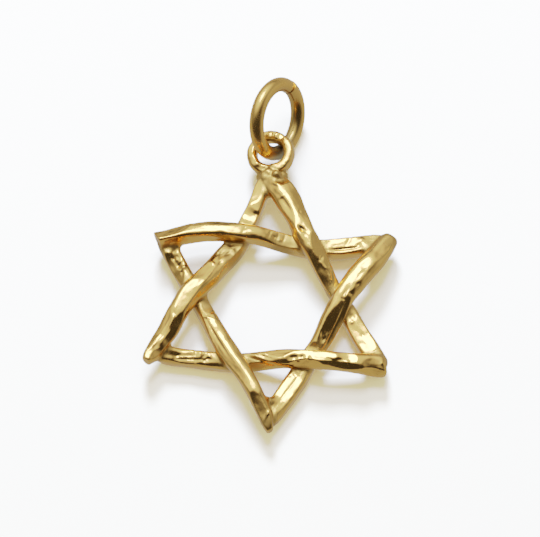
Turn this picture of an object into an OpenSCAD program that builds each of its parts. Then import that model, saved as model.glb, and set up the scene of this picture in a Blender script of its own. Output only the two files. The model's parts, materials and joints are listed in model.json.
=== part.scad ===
// A small cast gold charm: six hammered bars woven into a six-pointed star, an eye at the
// top point, and a round-wire jump ring through the eye. It lies on its back, with the
// top point propped up on the ring's wire.

/* [Star] */
// Distance from the middle of the star to where the middles of two bars meet
star_r = 9.4; // [8:0.1:13]
// Usual width of a bar, seen from the front
bar_w = 1.5; // [1.2:0.05:1.8]
// Usual depth of a bar, from front to back
bar_h = 1.5; // [1.2:0.05:2]
// How far a bar rises or dips from the star's middle plane where it crosses another
weave = 0.5; // [0.3:0.05:0.6]
// Radius of the metal that fills the inside corner of a point
web_r = 0.4; // [0.25:0.05:0.55]

/* [Eye] */
// Gap left round the jump ring's wire where it passes through the eye
eye_clear = 0.1; // [0.06:0.01:0.3]
// Thickness of the eye's wall, from the hole outwards
eye_wall = 0.7; // [0.5:0.05:1]
// Depth of the eye, from front to back
eye_h = 1.1; // [0.8:0.05:1.4]
// Lean of the eye to the left
eye_lean = 10; // [0:1:20]
// How far the eye sits to the right of the star's middle
eye_side = 0.23; // [-0.5:0.01:0.6]
// Radius of the largest bead of solder at the foot of the eye
solder_r = 0.42; // [0.25:0.01:0.55]

/* [Jump ring] */
// Inside diameter of the jump ring
ring_id = 4.15; // [3.9:0.05:6]
// Diameter of the jump ring's wire
ring_wire = 1; // [0.7:0.05:1.3]
// Width of the cut in the jump ring
ring_cut = 0.06; // [0.03:0.01:0.15]
// How steeply the ring rises away from the eye
ring_rise = 23.5; // [15:0.5:30]
// How far the ring leans over to its right
ring_lean = 60; // [50:1:65]
// How far the ring points to the right
ring_turn = 12; // [0:1:25]
// Where the cut is, clockwise round the ring from its far end
ring_cut_at = 20; // [0:1:60]

/* [Hidden] */

// Facets: steps between two table rows, sides of a bar, steps and sides of the eye
bar_steps = 3;
bar_sides = 12;
eye_steps = 28;
eye_sides = 10;
ball_fn = 12;

// The six points, as directions from the middle, in degrees from the right
TOP = 90;
UPPER_LEFT = 150;
LOWER_LEFT = 210;
BOTTOM = 270;
LOWER_RIGHT = 330;
UPPER_RIGHT = 30;

// A bar's rows are its sections, from its first point to its second. The columns are
// along: way along the bar, 0 at its first point and 1 at its second
// inward: shift toward the middle of the star, as a share of bar_w
// rise: height above the middle plane, as a share of weave
// wide, deep: width and depth, as shares of bar_w and bar_h
// square: 2 is a round section, 4 a square one
// turn: degrees the section is turned about the bar's own line
COLUMNS = ["along", "inward", "rise", "wide", "deep", "square", "turn"];
function at(row, name) = row[search([name], COLUMNS)[0]];

top_rows = [
  [-0.060,  0.08,  0.6, 0.62, 0.92, 4.0,   0],
  [ 0.020, -0.11,  0.8, 0.66, 0.96, 4.0,  -2],
  [ 0.110, -0.32,  0.9, 0.70, 0.98, 4.0,  -4],
  [ 0.220, -0.50,  1.0, 0.76, 1.02, 3.6,  -8],
  [ 0.340, -0.47,  1.1, 0.80, 1.00, 3.2,  -8],
  [ 0.470, -0.31,  0.6, 0.80, 0.96, 3.0,  -6],
  [ 0.580, -0.05, -0.3, 0.78, 0.96, 3.0,  -4],
  [ 0.680,  0.15, -0.9, 0.80, 0.98, 2.8,  -4],
  [ 0.800,  0.24, -0.9, 0.84, 0.96, 2.8,  -6],
  [ 0.920,  0.18, -0.8, 0.84, 0.90, 2.6,  -4],
  [ 1.000,  0.06, -0.7, 0.62, 0.70, 2.4,   0]
];
left_down_rows = [
  [-0.030,  0.42, -0.7, 0.50, 0.60, 3.0,   0],
  [ 0.000,  0.44, -0.8, 0.84, 0.88, 3.2,   4],
  [ 0.100,  0.36, -0.9, 0.88, 0.96, 3.2,   6],
  [ 0.210,  0.31, -1.0, 0.88, 0.98, 3.0,   6],
  [ 0.330,  0.27, -0.9, 0.84, 0.98, 2.8,   4],
  [ 0.440,  0.20, -0.2, 0.88, 1.00, 2.6,   0],
  [ 0.560,  0.11,  0.7, 1.00, 1.02, 2.6,  -4],
  [ 0.660,  0.11,  1.1, 1.00, 1.00, 2.5,  -6],
  [ 0.760,  0.18,  0.9, 0.84, 0.98, 2.6,  -6],
  [ 0.860,  0.14,  0.7, 0.76, 0.98, 3.0,  -4],
  [ 0.970,  0.04,  0.6, 0.66, 0.96, 3.0,   0],
  [ 1.060, -0.02,  0.5, 0.26, 0.66, 2.6,   0]
];
right_down_rows = [
  [-0.036, -0.42,  0.6, 0.60, 0.60, 2.4,   0],
  [-0.024, -0.41,  0.7, 0.90, 0.84, 2.4,   0],
  [ 0.020, -0.36,  0.9, 1.08, 0.96, 2.4,   0],
  [ 0.110, -0.27,  1.0, 1.20, 1.00, 2.4,   4],
  [ 0.220, -0.10,  1.1, 1.20, 1.02, 2.5,   6],
  [ 0.330, -0.02,  1.1, 1.08, 1.02, 2.6,   4],
  [ 0.440, -0.08,  0.5, 1.10, 1.00, 2.8,   0],
  [ 0.550, -0.13, -0.4, 0.94, 0.98, 2.8,  -4],
  [ 0.650, -0.07, -1.0, 0.94, 0.98, 2.8,  -4],
  [ 0.760, -0.07, -0.9, 1.04, 0.92, 3.2,   4],
  [ 0.880,  0.00, -0.8, 1.00, 0.90, 3.2,   4],
  [ 0.950,  0.05, -0.8, 0.78, 0.90, 2.8,   0],
  [ 0.990,  0.10, -0.7, 0.40, 0.60, 2.4,   0]
];
left_up_rows = [
  [-0.070, -0.30, -0.3, 0.60, 0.70, 3.0,   0],
  [ 0.030, -0.16, -0.5, 0.76, 0.84, 3.6,   4],
  [ 0.130,  0.04, -0.7, 0.78, 0.88, 3.8,   8],
  [ 0.230,  0.16, -0.9, 0.90, 0.94, 3.6,   8],
  [ 0.330,  0.22, -1.0, 1.02, 0.98, 3.0,   6],
  [ 0.430,  0.08, -0.5, 1.12, 1.02, 2.6,   4],
  [ 0.540, -0.10,  0.5, 1.20, 1.04, 2.4,   0],
  [ 0.640, -0.33,  1.1, 1.14, 1.04, 2.4,  -4],
  [ 0.740, -0.36,  1.1, 1.04, 1.00, 2.4,  -4],
  [ 0.850, -0.32,  0.9, 1.02, 0.98, 2.4,   0],
  [ 0.940, -0.35,  0.8, 0.94, 0.92, 2.3,   0],
  [ 1.005, -0.36,  0.7, 0.78, 0.80, 2.2,   0],
  [ 1.030, -0.36,  0.7, 0.42, 0.46, 2.0,   0]
];
right_up_rows = [
  [-0.060, -0.26,  0.2, 0.66, 0.76, 2.2,   0],
  [ 0.030, -0.40,  0.5, 1.20, 0.94, 2.3,   0],
  [ 0.110, -0.38,  0.8, 1.38, 1.00, 2.3,   4],
  [ 0.210, -0.28,  1.0, 1.22, 1.02, 2.4,   6],
  [ 0.300, -0.18,  1.1, 1.10, 1.02, 2.4,   6],
  [ 0.400, -0.13,  0.9, 1.04, 1.00, 2.6,   4],
  [ 0.500, -0.11,  0.1, 0.88, 0.98, 2.8,   0],
  [ 0.600, -0.07, -0.8, 0.80, 0.96, 2.8,  -2],
  [ 0.710, -0.07, -1.0, 0.86, 0.92, 3.0,  -4],
  [ 0.830,  0.00, -0.9, 0.92, 0.88, 3.4,  -4],
  [ 0.940,  0.03, -0.8, 0.88, 0.84, 3.2,   0],
  [ 1.010,  0.05, -0.7, 0.58, 0.66, 2.6,   0]
];
bottom_rows = [
  [ 0.000,  0.46, -0.8, 0.50, 0.56, 2.6,   0],
  [ 0.040,  0.44, -0.9, 0.76, 0.84, 2.8,   0],
  [ 0.130,  0.34, -1.0, 0.78, 0.92, 3.0,   6],
  [ 0.240,  0.18, -1.0, 0.80, 0.98, 3.0,   6],
  [ 0.350,  0.07, -0.9, 0.84, 1.00, 2.8,   4],
  [ 0.460,  0.06, -0.1, 0.86, 1.00, 2.6,   0],
  [ 0.570,  0.07,  0.8, 0.86, 1.02, 2.4,  -4],
  [ 0.670,  0.02,  1.1, 0.84, 1.02, 2.4,  -4],
  [ 0.780, -0.05,  1.0, 0.84, 1.00, 2.4,  -4],
  [ 0.890, -0.18,  0.9, 0.88, 1.02, 2.6,   0],
  [ 0.980, -0.23,  0.8, 0.90, 1.00, 2.8,   0],
  [ 1.030, -0.27,  0.8, 0.80, 0.88, 2.8,   0],
  [ 1.045, -0.28,  0.8, 0.50, 0.60, 2.6,   0]
];

// Each bar: its first point, its second point and its rows
top = [UPPER_LEFT, UPPER_RIGHT, top_rows];
left_down = [UPPER_LEFT, BOTTOM, left_down_rows];
right_down = [UPPER_RIGHT, BOTTOM, right_down_rows];
left_up = [TOP, LOWER_LEFT, left_up_rows];
right_up = [TOP, LOWER_RIGHT, right_up_rows];
bottom = [LOWER_LEFT, LOWER_RIGHT, bottom_rows];
BARS = [top, left_down, right_down, left_up, right_up, bottom];

// Each web fills the corner between two bars, given as a bar and the way along it, twice
WEBS = [
  [[top, 0.09], [left_down, 0.07]],
  [[top, 0.93], [right_down, 0.06]],
  [[left_down, 0.92], [right_down, 0.92]],
  [[left_up, 0.05], [right_up, 0.05]],
  [[left_up, 0.92], [bottom, 0.08]],
  [[right_up, 0.95], [bottom, 0.95]]
];

// Beads of solder round the foot of the eye. The columns are
// bearing: degrees round the eye, from the right
// out: distance from the wall's outside, as a share of solder_r
// up: height above the eye's middle, as a share of eye_h
// size: radius, as a share of solder_r
SOLDER = [
  [-70, 0.05,  0.34, 1.00],
  [-80, 0.75,  0.16, 0.80],
  [-96, 0.30,  0.20, 0.90],
  [-112, 0.30, -0.10, 0.95],
  [-64, 0.70, -0.12, 0.90]
];

// Curve through the rows of a table
function blend(a, b, c, d, t) =
  0.5 * (2 * b + (c - a) * t + (2 * a - 5 * b + 4 * c - d) * t * t + (3 * b - a - 3 * c + d) * t * t * t);
function row_at(rows, t) =
  let (last = len(rows) - 1, i = min(floor(t), last - 1))
  blend(rows[max(i - 1, 0)], rows[i], rows[i + 1], rows[min(i + 2, last)], t - i);
function smooth_rows(rows) =
  [for (i = [0 : bar_steps * (len(rows) - 1)]) row_at(rows, i / bar_steps)];

// A point of the star, and the row at a way along a bar, straight between its table rows
function tip(angle) = star_r * [cos(angle), sin(angle), 0];
function start(bar) = tip(bar[0]);
function end(bar) = tip(bar[1]);
function table(bar) = bar[2];
function pick(rows, way, i = 0) =
  i >= len(rows) - 2 || way <= at(rows[i + 1], "along")
    ? let (a = rows[i], b = rows[i + 1], from = at(a, "along"))
      a + (b - a) * (way - from) / (at(b, "along") - from)
    : pick(rows, way, i + 1);

// Middle of a bar at a row, and the direction across the bar toward the star's middle
function across(bar) =
  let (m = start(bar) + end(bar)) -m / norm(m);
function middle(bar, row) =
  start(bar) + (end(bar) - start(bar)) * at(row, "along")
  + across(bar) * at(row, "inward") * bar_w + [0, 0, at(row, "rise") * weave];

// Rounded box outline: a circle at square 2, nearly a box at square 4
function power(v, p) = sign(v) * pow(abs(v), p);
function oval(wide, deep, square, sides) =
  [for (i = [0 : sides - 1]) let (a = 360 * (i + 0.5) / sides)
    [wide / 2 * power(cos(a), 2 / square), deep / 2 * power(sin(a), 2 / square)]];
function section(bar, row) =
  let (m = middle(bar, row), side = across(bar), c = cos(at(row, "turn")), s = sin(at(row, "turn")))
  [for (p = oval(at(row, "wide") * bar_w, at(row, "deep") * bar_h, at(row, "square"), bar_sides))
    m + side * (p[0] * c - p[1] * s) + [0, 0, p[0] * s + p[1] * c]];

// Closed skin over rings of points, from the first ring to the last
function tube_faces(rings, sides) = concat(
  [for (r = [0 : rings - 2], i = [0 : sides - 1]) let (j = (i + 1) % sides)
    [r * sides + i, (r + 1) * sides + j, r * sides + j]],
  [for (r = [0 : rings - 2], i = [0 : sides - 1]) let (j = (i + 1) % sides)
    [r * sides + i, (r + 1) * sides + i, (r + 1) * sides + j]],
  [[for (i = [0 : sides - 1]) i]],
  [[for (i = [sides - 1 : -1 : 0]) (rings - 1) * sides + i]]);
function flipped(faces) = [for (f = faces) [for (i = [len(f) - 1 : -1 : 0]) f[i]]];
function bar_points(bar) =
  [for (row = smooth_rows(table(bar)), p = section(bar, row)) p];
// The direction across is to the left of some bars and to the right of others
function across_is_left(bar) = cross(end(bar) - start(bar), across(bar)).z > 0;

// The ring's plane, and the directions from its middle to the eye and along the wire there
ring_r = (ring_id + ring_wire) / 2;
ring_normal = [
  cos(ring_turn) * sin(ring_lean) + sin(ring_turn) * -cos(ring_lean) * sin(ring_rise),
  -sin(ring_turn) * sin(ring_lean) - cos(ring_turn) * cos(ring_lean) * sin(ring_rise),
  cos(ring_lean) * cos(ring_rise)
];
to_eye = -[cos(ring_rise) * sin(ring_turn), cos(ring_rise) * cos(ring_turn), sin(ring_rise)];
along_wire = cross(ring_normal, to_eye);

// The eye's hole lets the slanting, curved wire through with a gap all round it
slant = acos(abs(along_wire * [-sin(eye_lean), 0, cos(eye_lean)]));
wire_bend = pow(eye_h / 2 / cos(slant), 2) / (2 * ring_r);
eye_hole = ring_wire / cos(slant) + eye_h * tan(slant) + wire_bend + 2 * eye_clear;

// The eye's outline, swept round its hole
eye_r = (eye_hole + eye_wall) / 2;
eye_square = 2.6;
// Middle of the eye, which stands on the ends of the two top bars
eye_y = star_r + bar_w * 0.55 + eye_hole / 2 + eye_wall;
function eye_points() =
  [for (k = [0 : eye_steps - 1]) let (a = 360 * k / eye_steps)
    for (p = oval(eye_wall, eye_h, eye_square, eye_sides))
      [(eye_r + p[0]) * cos(a), (eye_r + p[0]) * sin(a), p[1]]];
function eye_faces() =
  [for (k = [0 : eye_steps - 1], i = [0 : eye_sides - 1])
    let (n = (k + 1) % eye_steps, j = (i + 1) % eye_sides)
    each [[k * eye_sides + i, k * eye_sides + j, n * eye_sides + j],
          [k * eye_sides + i, n * eye_sides + j, n * eye_sides + i]]];

// The ring passes through the middle of the eye and stands on its own lowest point
ring_drop = sqrt(pow(sin(ring_rise), 2) + pow(sin(ring_lean) * cos(ring_rise), 2));
ring_z = ring_wire / 2 + ring_r * ring_drop;
eye_z = ring_z - ring_r * sin(ring_rise);

// The star rests on the low parts of its right and bottom bars and, at the eye, on the ring
star_points = [for (bar = BARS, p = bar_points(bar)) p];
function lowest(points) =
  let (z = min([for (p = points) p.z])) [for (p = points) if (p.z == z) p][0];
foot = lowest([for (p = bar_points(right_down)) if (p.y < 0) p]);
side_foot = lowest([for (p = bar_points(bottom)) if (p.x < 0) p]);
pitch = asin(eye_z / norm([eye_y - foot.y, foot.z])) - atan2(-foot.z, eye_y - foot.y);
roll = atan(((side_foot.y - foot.y) * sin(pitch) + (side_foot.z - foot.z) * cos(pitch))
  / (side_foot.x - foot.x));
function laid(p) =
  let (z = p.y * sin(pitch) + p.z * cos(pitch))
  [p.x * cos(roll) + z * sin(roll), p.y * cos(pitch) - p.z * sin(pitch), z * cos(roll) - p.x * sin(roll)];
laid_points = [for (p = star_points) laid(p)];
lift = -min([for (p = laid_points) p.z]);
eye_at = laid([eye_side, eye_y, 0]);

// The origin is on the surface, under the middle of the whole charm
ring_middle = [eye_at.x - ring_r * to_eye.x, eye_at.y - ring_r * to_eye.y, ring_z];
ring_top_y = ring_middle.y + ring_r * sqrt(1 - pow(ring_normal.y, 2)) + ring_wire / 2;
middle_x = (min([for (p = laid_points) p.x]) + max([for (p = laid_points) p.x])) / 2;
middle_y = (min([for (p = laid_points) p.y]) + ring_top_y) / 2;

module lay_star() {
  translate([-middle_x, -middle_y, lift]) rotate([0, roll, 0]) rotate([pitch, 0, 0]) children();
}

module bar(bar) {
  faces = tube_faces(bar_steps * (len(table(bar)) - 1) + 1, bar_sides);
  polyhedron(bar_points(bar), across_is_left(bar) ? faces : flipped(faces), convexity = 4);
}

// The top bar's left end is filed flush with the outer side of the bar below it
module flush_cut() {
  row = table(left_down)[1];
  out = across(left_down);
  translate(middle(left_down, row) - out * at(row, "wide") * bar_w / 2)
    rotate([0, 0, atan2(out.y, out.x)])
      translate([-star_r / 2, 0, 0]) cube([star_r, star_r, star_r], center = true);
}

// A ball of metal in a bar, at a way along it
module ball_in(bar, way) {
  translate(middle(bar, pick(table(bar), way))) sphere(web_r, $fn = ball_fn);
}

// Metal between two bars at a point, thickest in the corner
module web(first, second) {
  hull() {
    ball_in(first[0], first[1]);
    ball_in(second[0], second[1]);
  }
}

module solder_bead(bearing, out, up, size) {
  from_middle = eye_r + eye_wall / 2 + out * solder_r;
  translate([from_middle * cos(bearing), from_middle * sin(bearing), up * eye_h])
    sphere(size * solder_r, $fn = ball_fn);
}

module eye() {
  translate([eye_side, eye_y, 0]) rotate([0, -eye_lean, 0]) {
    polyhedron(eye_points(), eye_faces(), convexity = 4);
    for (s = SOLDER) solder_bead(s[0], s[1], s[2], s[3]);
  }
}

// The foot of the eye runs down into both top bars
module eye_foot() {
  for (bar = [left_up, right_up]) {
    hull() {
      ball_in(bar, 0.06);
      translate([eye_side, eye_y - eye_r - eye_wall / 4, 0]) sphere(web_r, $fn = ball_fn);
    }
  }
}

module star() {
  color("goldenrod") lay_star() union() {
    difference() {
      bar(top);
      flush_cut();
    }
    for (b = [left_down, right_down, left_up, right_up, bottom]) bar(b);
    for (w = WEBS) web(w[0], w[1]);
    eye();
    eye_foot();
  }
}

module jump_ring() {
  cut_angle = 360 * ring_cut / (2 * PI * ring_r);
  color("gold") translate([ring_middle.x - middle_x, ring_middle.y - middle_y, ring_middle.z])
    rotate([0, 0, -ring_turn]) rotate([ring_rise, 0, 0]) rotate([0, ring_lean, 0])
      rotate([0, 0, 90 - ring_cut_at + cut_angle / 2])
        rotate_extrude(angle = 360 - cut_angle, $fn = 64)
          translate([ring_r, 0]) circle(d = ring_wire, $fn = 32);
}

star();
jump_ring();
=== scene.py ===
import json
import math

import bpy
import numpy as np
from mathutils import Matrix, Vector


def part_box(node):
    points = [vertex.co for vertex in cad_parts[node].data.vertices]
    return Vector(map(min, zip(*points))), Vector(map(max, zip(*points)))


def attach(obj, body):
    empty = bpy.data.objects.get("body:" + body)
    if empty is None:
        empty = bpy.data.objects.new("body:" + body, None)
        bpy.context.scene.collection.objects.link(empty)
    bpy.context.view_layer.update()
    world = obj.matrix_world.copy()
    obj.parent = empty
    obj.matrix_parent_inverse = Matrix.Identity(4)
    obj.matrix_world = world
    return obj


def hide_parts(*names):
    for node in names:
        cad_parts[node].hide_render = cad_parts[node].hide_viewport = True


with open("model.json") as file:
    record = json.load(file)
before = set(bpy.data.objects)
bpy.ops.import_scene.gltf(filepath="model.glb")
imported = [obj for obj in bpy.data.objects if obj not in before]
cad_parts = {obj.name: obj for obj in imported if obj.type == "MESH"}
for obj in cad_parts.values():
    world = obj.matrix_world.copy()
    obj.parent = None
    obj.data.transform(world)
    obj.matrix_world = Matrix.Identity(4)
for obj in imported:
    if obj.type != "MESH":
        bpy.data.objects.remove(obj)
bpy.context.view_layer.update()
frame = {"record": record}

# A small cast gold charm: six hammered bars woven into a six-pointed star, an eye at the
# top point and a jump ring through it. It lies on its back on a plain pale surface.

bl_info = {
    "name": "Woven star charm",
    "version": (1, 0, 0),
    "blender": (4, 5, 0),
    "location": "View3D > Sidebar > Charm",
    "description": "A cast gold six-pointed star of woven bars, its jump ring and the stage under it",
    "category": "Add Mesh",
}

MM = 0.001


def length(name, about, default, low, high):
    """A size in metres, given in mm."""
    return bpy.props.FloatProperty(
        name=name, description=about, default=default * MM, min=low * MM, max=high * MM,
        precision=6, unit="LENGTH", subtype="DISTANCE")


def angle(name, about, default, high):
    """An angle in radians, given in degrees."""
    return bpy.props.FloatProperty(
        name=name, description=about, default=math.radians(default), min=0, max=math.radians(high),
        subtype="ANGLE")


def colour(name, about, default):
    """A colour of the metal or of the floor."""
    return bpy.props.FloatVectorProperty(
        name=name, description=about, default=default, size=3, min=0, max=1, subtype="COLOR")


def roughness(name, about, default, low, high):
    """A gloss of the metal, where 0 is a mirror."""
    return bpy.props.FloatProperty(
        name=name, description=about, default=default, min=low, max=high, subtype="FACTOR")


class CharmStar(bpy.types.PropertyGroup):
    """Sizes of the cast star"""

    reach: length("Reach", "From the middle of the star to where the middles of two bars meet", 9.4, 8, 13)
    bar_width: length("Bar width", "Usual width of a bar, seen from the front", 1.5, 1.2, 1.8)
    bar_depth: length("Bar depth", "Usual depth of a bar, from front to back", 1.5, 1.2, 2)
    weave: length("Weave", "How far a bar rises or dips where it crosses another", 0.5, 0.3, 0.6)
    web_radius: length("Web radius", "Radius of the metal in the inside corner of a point", 0.4, 0.25, 0.55)
    fillet: length("Fillet", "Width of the soft joint where one bar runs into another", 0.16, 0.05, 0.4)
    grid: length("Grid", "Distance between the points of the star's skin", 0.085, 0.08, 0.3)


class CharmEye(bpy.types.PropertyGroup):
    """Sizes of the eye at the top point"""

    hole: length("Hole", "Diameter of the hole in the eye", 2.01, 1.8, 2.8)
    wall: length("Wall", "Thickness of the eye's wall, from the hole outwards", 0.78, 0.5, 1)
    depth: length("Depth", "Depth of the eye, from front to back", 1.1, 0.8, 1.4)
    lean: angle("Lean", "Lean of the eye to the left", 10, 20)
    side: length("Side", "How far the eye sits to the right of the star's middle", 0.23, -0.5, 0.6)
    solder: length("Solder", "Radius of the largest bead of solder at the eye's foot", 0.42, 0.25, 0.55)


class CharmGrain(bpy.types.PropertyGroup):
    """The uneven skin of the casting"""

    lump_size: length("Lump size", "Size of the soft lumps across a bar", 1, 0.2, 4)
    lump_height: length("Lump height", "Height of the soft lumps", 0.15, 0, 1)
    stretch: bpy.props.FloatProperty(
        name="Stretch", description="How much longer than broad the lumps are, along the bars",
        default=2.2, min=1, max=6)
    ripple_size: length("Ripple size", "Size of the small ripples across a bar", 0.35, 0.1, 2)
    ripple_height: length("Ripple height", "Height of the small ripples", 0.05, 0, 0.3)
    seed: bpy.props.FloatProperty(
        name="Seed", description="Number that picks another pattern of lumps", default=3.0)


class CharmRing(bpy.types.PropertyGroup):
    """Sizes of the jump ring"""

    inside: length("Inside", "Inside diameter of the jump ring", 4.15, 3.9, 6)
    wire: length("Wire", "Diameter of the jump ring's wire", 1.07, 0.7, 1.3)
    cut: length("Cut", "Width of the cut in the jump ring", 0.06, 0.03, 0.15)
    spring: length("Spring", "How far the two ends of the wire miss each other, sideways", 0.08, 0, 0.3)
    rise: angle("Rise", "How steeply the ring rises away from the eye", 23.5, 40)
    lean: angle("Lean", "How far the ring leans over to its right", 60, 80)
    turn: angle("Turn", "How far the ring points to the right", 12, 30)
    cut_at: angle("Cut at", "Where the cut is, clockwise round the ring from its far end", 14, 90)


class CharmFinish(bpy.types.PropertyGroup):
    """Colours and gloss of the metal"""

    gold: colour("Gold", "Colour of the polished gold", (0.97, 0.525, 0.130))
    # Deep gold: painted shade in the star's corners, near its crossings and on given stretches, and on the
    # inside of the jump ring; on the solder it is the solder's own colour
    shade_and_solder_gold: colour("Deep gold", "Colour of the gold in corners and pits", (0.62, 0.365, 0.10))
    # Painted shade on the wire where it passes through the eye
    painted_eye_shade: colour("Rubbed gold", "Colour of the wire where it rubs in the eye", (0.30, 0.28, 0.18))
    polish: roughness("Polish", "Roughness of the smoothest metal", 0.10, 0.02, 0.6)
    satin: roughness("Satin", "Roughness of the dullest open metal", 0.26, 0.05, 0.8)
    # Roughness of the places with painted shade, of the solder, and of the wire where it has painted shade
    # in the eye
    dull_and_shade: roughness("Dull", "Roughness in corners, on the solder and where the wire rubs", 0.42, 0.05, 0.8)
    wire: roughness("Wire", "Roughness of the drawn wire", 0.25, 0.05, 0.8)


class CharmStage(bpy.types.PropertyGroup):
    """The surface, light and camera"""

    floor: colour("Floor", "Colour of the surface that the charm lies on", (0.93, 0.93, 0.915))
    width: length("Width", "Width of the floor that the picture shows", 40, 10, 200)
    distance: length("Distance", "From the camera to the charm", 350, 100, 2000)
    elevation: angle("Elevation", "Height of the camera above the horizon", 66, 90)


# The six points, as directions from the middle, in degrees from the right
TOP, UPPER_LEFT, LOWER_LEFT, BOTTOM, LOWER_RIGHT, UPPER_RIGHT = 90, 150, 210, 270, 330, 30
# Each bar's first and second point
BARS = {
    "top": (UPPER_LEFT, UPPER_RIGHT),
    "left_down": (UPPER_LEFT, BOTTOM),
    "right_down": (UPPER_RIGHT, BOTTOM),
    "left_up": (TOP, LOWER_LEFT),
    "right_up": (TOP, LOWER_RIGHT),
    "bottom": (LOWER_LEFT, LOWER_RIGHT),
}

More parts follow.
